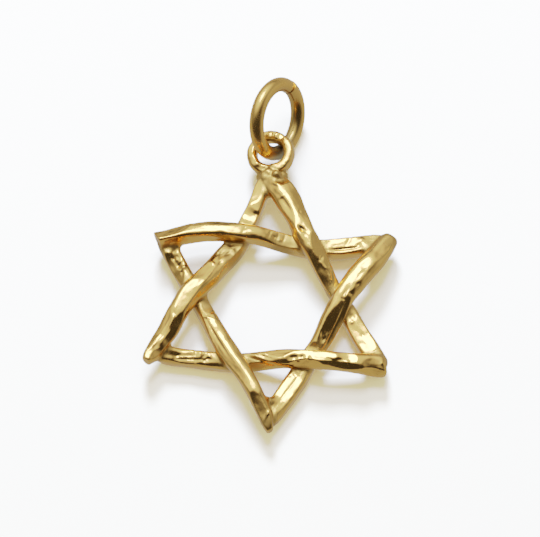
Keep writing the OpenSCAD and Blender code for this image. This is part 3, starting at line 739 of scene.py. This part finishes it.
def dullness_and_shade(points, out, pieces, bars, places, gap):
    """How dull the metal is and how much painted shade it gets: 1 in corners, near the next bar, on the
    given stretches and on the solder, 0 in the open. On the solder the deeper colour is its own; elsewhere
    it is painted shade.
    """
    # Painted shade and dullness in corners, where more metal lies just outside the skin
    dull_and_shade = np.clip(1 - star_field(points + CORNER_LOOK * out, pieces) / CORNER_LOOK, 0, 1)
    for bead in pieces[-len(SOLDER):]:
        dull_and_shade = np.maximum(dull_and_shade, np.clip(1 - bead.distance(points) / CORNER_LOOK, 0, 1))
    # Painted shade and dullness near the next bar, where bars meet and cross
    dull_and_shade = np.maximum(dull_and_shade, np.clip(1 - gap / REACH, 0, 1))
    # Painted shade and dullness on the given stretches
    for name, along, long in DULL_AND_SHADE_SPOTS:
        away = np.linalg.norm(points - bars[name].middle(along), axis=1)
        on_bar = places[:, 3] == list(bars).index(name)
        dull_and_shade = np.maximum(dull_and_shade, on_bar * np.clip(SHADE_SPOT_FADE - SHADE_SPOT_FADE * away / long, 0, 1))
    return dull_and_shade


def new_object(name, data):
    """A new object in the scene."""
    made = bpy.data.objects.new(name, data)
    bpy.context.scene.collection.objects.link(made)
    return made


def new_mesh(name, points, faces):
    """A mesh object with its points in metres."""
    mesh = bpy.data.meshes.new(name)
    mesh.from_pydata(points.tolist(), [], faces.tolist())
    mesh.polygons.foreach_set("use_smooth", np.ones(len(faces), bool))
    mesh.update()
    return new_object(name, mesh)


def keep_values(piece, name, kind, field, values):
    """Stores a value or a vector with each point of a piece."""
    piece.data.attributes.new(name, kind, "POINT").data.foreach_set(field, values.ravel())


def finish_piece(piece, node):
    """Hides the packed part that a finished piece stands in for, and hangs the piece on the root body."""
    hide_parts(node)
    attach(piece, "root")


class CHARM_OT_star(bpy.types.Operator):
    """Casts the star: six woven bars, the webs in its points, its eye and the solder"""

    bl_idname = "charm.star"
    bl_label = "Star"

    def execute(self, context):
        scene = context.scene
        bars, pieces = star_pieces(scene.charm_star, scene.charm_eye)
        step = scene.charm_star.grid / MM
        loop = next(piece for piece in pieces if isinstance(piece, Loop))
        reach = scene.charm_star.reach / MM + GRID_MARGIN
        low = np.array((-reach, -reach, -GRID_MARGIN))
        high = np.array((reach, loop.middle[1] + loop.radius + loop.wall, GRID_MARGIN))
        sides = [np.arange(a, b, step) for a, b in zip(low, high)]
        grid = np.stack(np.meshgrid(*sides, indexing="ij"), axis=-1)
        field = star_field(grid.reshape(-1, 3), pieces).reshape(grid.shape[:3])
        points, quads = skin(mend_pinches(field, MENDED * step), low, step)

        def field_at(where):
            return star_field(where, pieces)

        points = settle(points, field_at, step)
        steep = slope(points, field_at, step / 4)
        out = steep / np.linalg.norm(steep, axis=1)[:, None]
        places, gap = grain_places(points, bars)
        dull_and_shade = dullness_and_shade(points, out, pieces, bars, places, gap)
        turned = np.array(lying_pose(scene.charm_ring, bars, loop.middle))
        points = points @ turned.T * MM
        points += np.array(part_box("star")[0]) - points.min(axis=0)
        star = new_mesh("cast_star", points, quads)
        # The stored value carries painted shade as well as dullness
        keep_values(star, "dull_and_shade", "FLOAT", "value", dull_and_shade)
        keep_values(star, "grain", "FLOAT_VECTOR", "vector", places[:, :3])
        keep_values(star, "bar", "FLOAT", "value", places[:, 3])
        grain = scene.charm_grain
        grow(star, grain_tree(), {
            "Lump size": grain.lump_size, "Lump height": grain.lump_height, "Stretch": grain.stretch,
            "Ripple size": grain.ripple_size, "Ripple height": grain.ripple_height, "Seed": grain.seed,
            "Metal": cast_gold(scene.charm_finish)})
        finish_piece(star, "star")
        return {"FINISHED"}


class CHARM_OT_jump_ring(bpy.types.Operator):
    """Bends the jump ring from round wire, with its cut"""

    bl_idname = "charm.jump_ring"
    bl_label = "Jump ring"

    def execute(self, context):
        ring = context.scene.charm_ring
        piece = new_object("wire_ring", bpy.data.meshes.new("wire_ring"))
        radius = (ring.inside + ring.wire) / 2
        grow(piece, ring_tree(), {
            "Radius": radius, "Wire": ring.wire / 2, "Cut": ring.cut / radius, "Spring": ring.spring,
            "Metal": wire_gold(context.scene.charm_finish)})
        mount = frame["record"]["mounts"][0]
        piece.data.transform(Matrix.Translation(Vector(mount["pos_m"])) @ (
            Matrix.Rotation(-ring.turn, 4, "Z") @ Matrix.Rotation(ring.rise, 4, "X")
            @ Matrix.Rotation(ring.lean, 4, "Y") @ Matrix.Rotation(math.pi / 2 - ring.cut_at, 4, "Z")))
        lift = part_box("jump_ring")[0][2] - min(point.co.z for point in piece.data.vertices)
        piece.data.transform(Matrix.Translation((0, 0, lift)))
        finish_piece(piece, "jump_ring")
        return {"FINISHED"}


def node(tree, kind, inputs=None, **settings):
    """A node of a tree, with its settings and the values or links of its inputs."""
    made = tree.nodes.new(kind)
    for name, value in settings.items():
        setattr(made, name, value)
    for name, value in (inputs or {}).items():
        if isinstance(value, bpy.types.NodeSocket):
            tree.links.new(value, made.inputs[name])
        else:
            made.inputs[name].default_value = value
    return made


def maths(tree, operation, *values, **settings):
    """The result of a maths node."""
    return node(tree, "ShaderNodeMath", dict(enumerate(values)), operation=operation, **settings).outputs[0]


def vector_maths(tree, operation, inputs):
    """A vector maths node."""
    return node(tree, "ShaderNodeVectorMath", inputs, operation=operation).outputs


def spread(tree, value, low, high, to_low=0.0, to_high=1.0, kind="SMOOTHSTEP"):
    """A value's range carried over to another range, softly unless kind says otherwise."""
    return node(tree, "ShaderNodeMapRange", {
        "Value": value, "From Min": low, "From Max": high, "To Min": to_low, "To Max": to_high},
        interpolation_type=kind).outputs[0]


def new_tree(name, *sizes):
    """A geometry tree with an input for each size and for the metal, and those inputs."""
    tree = bpy.data.node_groups.new(name, "GeometryNodeTree")
    for size in ("Geometry", *sizes, "Metal"):
        kind = {"Geometry": "Geometry", "Metal": "Material"}.get(size, "Float")
        tree.interface.new_socket(size, in_out="INPUT", socket_type="NodeSocket" + kind)
    tree.interface.new_socket("Geometry", in_out="OUTPUT", socket_type="NodeSocketGeometry")
    return tree, node(tree, "NodeGroupInput").outputs


def close_tree(tree, geometry, metal):
    """Ends a tree with plain geometry of one metal."""
    real = node(tree, "GeometryNodeRealizeInstances", {"Geometry": geometry})
    made = node(tree, "GeometryNodeSetMaterial", {"Geometry": real.outputs[0], "Material": metal})
    node(tree, "NodeGroupOutput", {"Geometry": made.outputs[0]})
    return tree


def grow(piece, tree, values):
    """Runs a geometry tree on a piece and keeps its result as a plain mesh."""
    maker = piece.modifiers.new("Maker", "NODES")
    maker.node_group = tree
    for item in tree.interface.items_tree:
        if item.item_type == "SOCKET" and item.in_out == "INPUT" and item.name in values:
            maker[item.identifier] = values[item.name]
    made = piece.evaluated_get(bpy.context.evaluated_depsgraph_get())
    mesh = bpy.data.meshes.new_from_object(made)
    piece.modifiers.remove(maker)
    mesh.name = piece.name
    piece.data = mesh


# Steps along the jump ring's wire and round it
WIRE_STEPS, WIRE_SIDES = 180, 48
# How suddenly the ends of the wire turn aside, and half of their miss for each of them
SPRING_POWER, SPRING_SHARE = 7.0, 0.5
# From one bar's seed to the next one's
SEED_STEP = 5.0


def ring_tree():
    """Round wire bent round most of a circle, its two ends sprung apart sideways."""
    tree, given = new_tree("Jump ring", "Radius", "Wire", "Cut", "Spring")
    arc = node(tree, "GeometryNodeCurveArc", {
        "Resolution": WIRE_STEPS, "Radius": given["Radius"],
        "Start Angle": maths(tree, "MULTIPLY", given["Cut"], 0.5),
        "Sweep Angle": maths(tree, "SUBTRACT", 2 * math.pi, given["Cut"])})
    way = node(tree, "GeometryNodeSplineParameter").outputs["Factor"]
    steep = maths(tree, "POWER", spread(tree, way, 0.0, 1.0, -1.0, 1.0, "LINEAR"), SPRING_POWER)
    aside = maths(tree, "MULTIPLY", steep, given["Spring"])
    offset = node(tree, "ShaderNodeCombineXYZ", {"Z": maths(tree, "MULTIPLY", aside, SPRING_SHARE)})
    sprung = node(tree, "GeometryNodeSetPosition", {
        "Geometry": arc.outputs["Curve"], "Offset": offset.outputs[0]})
    section = node(tree, "GeometryNodeCurvePrimitiveCircle", {
        "Resolution": WIRE_SIDES, "Radius": given["Wire"]})
    swept = node(tree, "GeometryNodeCurveToMesh", {
        "Curve": sprung.outputs[0], "Profile Curve": section.outputs["Curve"], "Fill Caps": True})
    smooth = node(tree, "GeometryNodeSetShadeSmooth", {"Geometry": swept.outputs[0]})
    point = node(tree, "ShaderNodeSeparateXYZ", {0: node(tree, "GeometryNodeInputPosition").outputs[0]})
    flat = node(tree, "ShaderNodeCombineXYZ", {"X": point.outputs["X"], "Y": point.outputs["Y"]})
    out = vector_maths(tree, "LENGTH", {0: flat.outputs[0]})["Value"]
    inner = maths(tree, "DIVIDE", maths(tree, "SUBTRACT", given["Radius"], out), given["Wire"])
    marked = node(tree, "GeometryNodeStoreNamedAttribute", {
        "Geometry": smooth.outputs[0], "Name": "inner", "Value": inner})
    return close_tree(tree, marked.outputs[0], given["Metal"])


def scaled_noise(tree, place, size, stretch, seed, detail):
    """Noise between -0.5 and 0.5 whose lumps are size broad, and longer by stretch along X."""
    per_mm = maths(tree, "DIVIDE", MM, size)
    scale = node(tree, "ShaderNodeCombineXYZ", {
        "X": maths(tree, "DIVIDE", per_mm, stretch), "Y": per_mm, "Z": per_mm})
    noise = node(tree, "ShaderNodeTexNoise", {
        "Vector": vector_maths(tree, "MULTIPLY", {0: place, 1: scale.outputs[0]})[0],
        "W": seed, "Scale": 1.0, "Detail": detail, "Roughness": 0.5}, noise_dimensions="4D")
    return maths(tree, "SUBTRACT", noise.outputs[0], 0.5)


def grain_tree():
    """Raises and sinks a cast skin along its normals, with lumps and ripples that follow the bars."""
    tree, given = new_tree("Casting grain", "Lump size", "Lump height", "Stretch", "Ripple size",
                           "Ripple height", "Seed")
    place, bar = (node(tree, "GeometryNodeInputNamedAttribute", {"Name": name}, data_type=kind)
                  .outputs["Attribute"] for name, kind in (("grain", "FLOAT_VECTOR"), ("bar", "FLOAT")))
    seed = maths(tree, "MULTIPLY_ADD", bar, SEED_STEP, given["Seed"])
    lumps, ripples = (scaled_noise(tree, place, given[size], given["Stretch"], seed, detail)
                      for size, detail in (("Lump size", 1.0), ("Ripple size", 2.0)))
    small = maths(tree, "MULTIPLY", ripples, given["Ripple height"])
    height = maths(tree, "MULTIPLY_ADD", lumps, given["Lump height"], small)
    out = node(tree, "GeometryNodeInputNormal").outputs[0]
    moved = node(tree, "GeometryNodeSetPosition", {
        "Geometry": given["Geometry"], "Offset": vector_maths(tree, "SCALE", {0: out, "Scale": height})[0]})
    return close_tree(tree, moved.outputs[0], given["Metal"])


# Soft clouds in the gloss of the cast gold and of the wire: clouds to a mm, detail, and the
# noise at which they start and are full
CAST_CLOUDS, WIRE_CLOUDS = (1.1, 4.0, 0.35, 0.7), (1.6, 3.0, 0.3, 0.7)
# Value at which the painted shade, or on the solder its deeper colour, and the dull gloss start and are
# full
DULL_AND_SHADE_RANGE = (0.1, 0.8)
# Where the wire passes through the eye, and from how far off its painted shade starts to fade and is gone,
# in mm
EYE_PLACE, EYE_SHADE_RANGE = (0.35, 9.2, 1.5), (0.8, 1.9)
# Place across the wire at which its painted shade starts and is full: -1 outside, 1 inside the ring
INNER_RANGE = (-0.2, 1.0)
# How far the wire's roughness drifts down and up, as shares of it
WIRE_DRIFT = (-0.1, 0.1)


def new_material(name):
    """An empty material with its shader and the object's own coordinates in mm."""
    made = bpy.data.materials.new(name)
    made.use_nodes = True
    tree = made.node_tree
    tree.nodes.clear()
    shader = node(tree, "ShaderNodeBsdfPrincipled")
    node(tree, "ShaderNodeOutputMaterial", {"Surface": shader.outputs[0]})
    where = node(tree, "ShaderNodeTexCoord")
    scaled = node(tree, "ShaderNodeMapping", {"Vector": where.outputs["Object"], "Scale": (1 / MM,) * 3})
    return made, tree, shader, scaled.outputs[0]


def blend(tree, factor, low, high):
    """A colour between two, each a colour or a link."""
    ends = [end if isinstance(end, bpy.types.NodeSocket) else (*end, 1) for end in (low, high)]
    return node(tree, "ShaderNodeMix", {"Factor": factor, "A": ends[0], "B": ends[1]},
                data_type="RGBA").outputs["Result"]


def stored(tree, name):
    """A value that is stored with each point of a piece."""
    return node(tree, "ShaderNodeAttribute", attribute_name=name).outputs["Fac"]


def clouded(tree, place, clouds, low, high):
    """A roughness that drifts in soft clouds over the metal."""
    scale, detail, start, full = clouds
    noise = node(tree, "ShaderNodeTexNoise", {"Vector": place, "Scale": scale, "Detail": detail})
    return spread(tree, noise.outputs["Fac"], start, full, low, high)


def set_metal(tree, shader, tint, factor, low, high):
    """Gives a metal its colour, and a roughness between two."""
    tree.links.new(tint, shader.inputs["Base Color"])
    rough = node(tree, "ShaderNodeMix", {"Factor": factor, "A": low, "B": high})
    tree.links.new(rough.outputs["Result"], shader.inputs["Roughness"])
    shader.inputs["Metallic"].default_value = 1.0


def cast_gold(finish):
    """Cast, tumbled gold: polished in the open, with painted shade and a dull gloss in the corners, near
    the next bar and on given stretches, and the solder dull and deeper in colour.
    """
    made, tree, shader, place = new_material("Cast gold")
    # Painted shade, and on the solder its deeper colour, follow the stored value
    dull_and_shade = spread(tree, stored(tree, "dull_and_shade"), *DULL_AND_SHADE_RANGE)
    gloss = clouded(tree, place, CAST_CLOUDS, finish.polish, finish.satin)
    set_metal(tree, shader, blend(tree, dull_and_shade, finish.gold, finish.shade_and_solder_gold), dull_and_shade, gloss, finish.dull_and_shade)
    return made


def wire_gold(finish):
    """Drawn gold wire with a satin gloss, painted shade on the inside of the ring, and painted shade and a
    dull gloss where it passes through the eye.
    """
    made, tree, shader, place = new_material("Wire gold")
    apart = vector_maths(tree, "DISTANCE", {0: place, 1: EYE_PLACE})["Value"]
    # Painted shade where the wire passes through the eye
    out_of_eye_shade = spread(tree, apart, *EYE_SHADE_RANGE)
    # Painted shade on the inside of the ring
    inner_shaded = blend(tree, spread(tree, stored(tree, "inner"), *INNER_RANGE), finish.gold, finish.shade_and_solder_gold)
    gloss = clouded(tree, place, WIRE_CLOUDS, *(finish.wire * (1 + drift) for drift in WIRE_DRIFT))
    set_metal(tree, shader, blend(tree, out_of_eye_shade, finish.painted_eye_shade, inner_shaded), out_of_eye_shade, finish.dull_and_shade, gloss)
    return made


# Patches of light in the tent that the gold mirrors. The columns are
# bearing: degrees clockwise from straight behind the charm, seen from above
# tip: degrees down from straight overhead
# core, edge: degrees from its middle to where it starts to fade and to where it is gone
# power: brightness
TENT = (
    (-20, 34, 16, 58, 1.90),
    ( 60, 75, 10, 55, 0.50),
    ( 95, 85,  5, 40, 0.33),
    (-70, 60, 10, 55, 0.33),
)
# Brightness of the rest of the tent
TENT_LEVEL = 0.05
# Light of the plain dome that fills the shadows on the floor, warm as gold throws it back
DOME_COLOUR = (2.45, 1.95, 0.88)
# The soft square lamps that throw the shadows. The columns are
# bearing, tip: as for the tent
# size: side in m
# power: watts
LAMPS = (
    ( 4, 24, 0.12,  2.8),
    (-6, 49, 0.10, 12.9),
)
# The round lamp that only the gold mirrors, as its brightest patch, with the same columns
GLINT = (-12, 30, 0.16, 1.6)
LAMP_DISTANCE = 0.4
LAMP_COLOUR = (0.86, 0.97, 1.165)
# Light that the gold mirrors from the floor
FLOOR_MIRRORED = (0.74, 0.70, 0.62)
# Half the floor's side in m, and its roughness
FLOOR_HALF, FLOOR_ROUGHNESS = 0.6, 0.9
# What the camera looks at, in mm
TARGET = (0.04, -0.745, 1.4)
# The camera's tone curve: light in and light out, with soft whites
TONES = (
    (0, 0), (0.05, 0.05), (0.13, 0.127), (0.2, 0.185), (0.3, 0.25), (0.45, 0.335), (0.6, 0.395),
    (0.85, 0.48), (1.2, 0.56), (1.9, 0.645), (3.1, 0.745), (4.2, 0.81), (6, 0.90), (8, 0.965), (12, 1))


def direction(bearing, tip):
    """The way to a patch of the tent or to a lamp."""
    ahead, right = cos_sin(bearing)
    up, out = cos_sin(tip)
    return Vector((right * out, ahead * out, up))


def build_world(scene):
    """A soft light tent, brightest behind and above, and a plain dome for what isn't mirrored."""
    world = bpy.data.worlds.new("Light tent")
    scene.world = world
    world.use_nodes = True
    world.cycles.sampling_method = "NONE"
    tree = world.node_tree
    tree.nodes.clear()
    aim = node(tree, "ShaderNodeTexCoord").outputs["Generated"]
    level = TENT_LEVEL
    for bearing, tip, core, edge, power in TENT:
        facing = vector_maths(tree, "DOT_PRODUCT", {0: aim, 1: direction(bearing, tip)})["Value"]
        patch = spread(tree, facing, cos_sin(edge)[0], cos_sin(core)[0], 0.0, power)
        level = maths(tree, "ADD", patch, level)
    path = node(tree, "ShaderNodeLightPath").outputs
    mirrored = maths(tree, "SUBTRACT", path["Is Glossy Ray"], path["Diffuse Depth"], use_clamp=True)
    tent = node(tree, "ShaderNodeCombineColor", {"Red": level, "Green": level, "Blue": level})
    sky = node(tree, "ShaderNodeBackground", {"Color": blend(tree, mirrored, DOME_COLOUR, tent.outputs[0])})
    node(tree, "ShaderNodeOutputWorld", {"Surface": sky.outputs[0]})


def build_lamp(name, bearing, tip, size, power):
    """A soft lamp that faces the charm."""
    light = bpy.data.lights.new(name, "AREA")
    light.size, light.energy = size, power
    lamp = new_object(name, light)
    away = direction(bearing, tip)
    lamp.location = away * LAMP_DISTANCE
    lamp.rotation_euler = away.to_track_quat("Z", "Y").to_euler()
    return lamp


def build_lamps():
    """Lamps behind and above: square ones for the shadows, and a round one for the gold's glints."""
    for number, row in enumerate(LAMPS, 1):
        lamp = build_lamp(f"Soft lamp {number}", *row)
        lamp.data.color = LAMP_COLOUR
        lamp.visible_glossy = False
    lamp = build_lamp("Glint", *GLINT)
    lamp.data.shape = "DISK"
    lamp.visible_diffuse = False


def build_floor(tint):
    """The pale floor, which the gold mirrors as a plain pale light."""
    corners = np.array([(-1, -1, 0), (1, -1, 0), (1, 1, 0), (-1, 1, 0)]) * FLOOR_HALF
    floor = new_mesh("floor", corners, np.array([(0, 1, 2, 3)]))
    made, tree, shader, _ = new_material("Pale floor")
    shader.inputs["Base Color"].default_value = (*tint, 1)
    shader.inputs["Roughness"].default_value = FLOOR_ROUGHNESS
    shader.inputs["Specular IOR Level"].default_value = 0.0
    mirrored = node(tree, "ShaderNodeLightPath").outputs["Is Glossy Ray"]
    glow = node(tree, "ShaderNodeEmission", {"Color": (*FLOOR_MIRRORED, 1)})
    mixed = node(tree, "ShaderNodeMixShader", {0: mirrored, 1: shader.outputs[0], 2: glow.outputs[0]})
    output = next(part for part in tree.nodes if part.type == "OUTPUT_MATERIAL")
    tree.links.new(mixed.outputs[0], output.inputs["Surface"])
    floor.data.materials.append(made)


def set_tones(view):
    """Gives the picture the camera's tone curve."""
    view.view_transform = "Standard"
    view.use_curve_mapping = True
    mapping = view.curve_mapping
    full = TONES[-1][0]
    mapping.white_level = (full,) * 3
    curve = mapping.curves[3]
    curve.points[0].location = TONES[0]
    curve.points[1].location = (1, TONES[-1][1])
    for light, shown in TONES[1:-1]:
        curve.points.new(light / full, shown)
    mapping.update()


class CHARM_OT_stage(bpy.types.Operator):
    """Lays the pale floor and sets up the soft light and the camera"""

    bl_idname = "charm.stage"
    bl_label = "Stage"

    def execute(self, context):
        scene, stage = context.scene, context.scene.charm_stage
        build_floor(stage.floor)
        build_world(scene)
        build_lamps()
        lens = bpy.data.cameras.new("Camera")
        lens.sensor_width = 36
        lens.lens = lens.sensor_width * stage.distance / stage.width
        lens.clip_start, lens.clip_end = 0.01, 10
        camera = new_object("Camera", lens)
        scene.camera = camera
        back = Vector((0, -math.cos(stage.elevation), math.sin(stage.elevation)))
        camera.location = Vector(TARGET) * MM + back * stage.distance
        camera.rotation_euler = (-back).to_track_quat("-Z", "Y").to_euler()
        set_tones(scene.view_settings)
        return {"FINISHED"}


GROUPS = {
    "charm_star": CharmStar,
    "charm_eye": CharmEye,
    "charm_grain": CharmGrain,
    "charm_ring": CharmRing,
    "charm_finish": CharmFinish,
    "charm_stage": CharmStage,
}
OPERATORS = (CHARM_OT_stage, CHARM_OT_star, CHARM_OT_jump_ring)


class CHARM_PT_panel(bpy.types.Panel):
    """Lists the charm's sizes and its makers"""

    bl_idname = "CHARM_PT_panel"
    bl_label = "Woven star charm"
    bl_space_type = "VIEW_3D"
    bl_region_type = "UI"
    bl_category = "Charm"

    def draw(self, context):
        for name, group in GROUPS.items():
            box = self.layout.box()
            box.label(text=group.__doc__)
            for size in group.__annotations__:
                box.prop(getattr(context.scene, name), size)
        for operator in OPERATORS:
            self.layout.operator(operator.bl_idname)


def register():
    for made in (*GROUPS.values(), *OPERATORS, CHARM_PT_panel):
        bpy.utils.register_class(made)
    for name, group in GROUPS.items():
        setattr(bpy.types.Scene, name, bpy.props.PointerProperty(type=group))


def unregister():
    for name in GROUPS:
        delattr(bpy.types.Scene, name)
    for made in (CHARM_PT_panel, *reversed(OPERATORS), *reversed(GROUPS.values())):
        bpy.utils.unregister_class(made)


def main():
    register()
    bpy.ops.charm.stage()
    bpy.ops.charm.star()
    bpy.ops.charm.jump_ring()


if __name__ == "__main__":
    main()
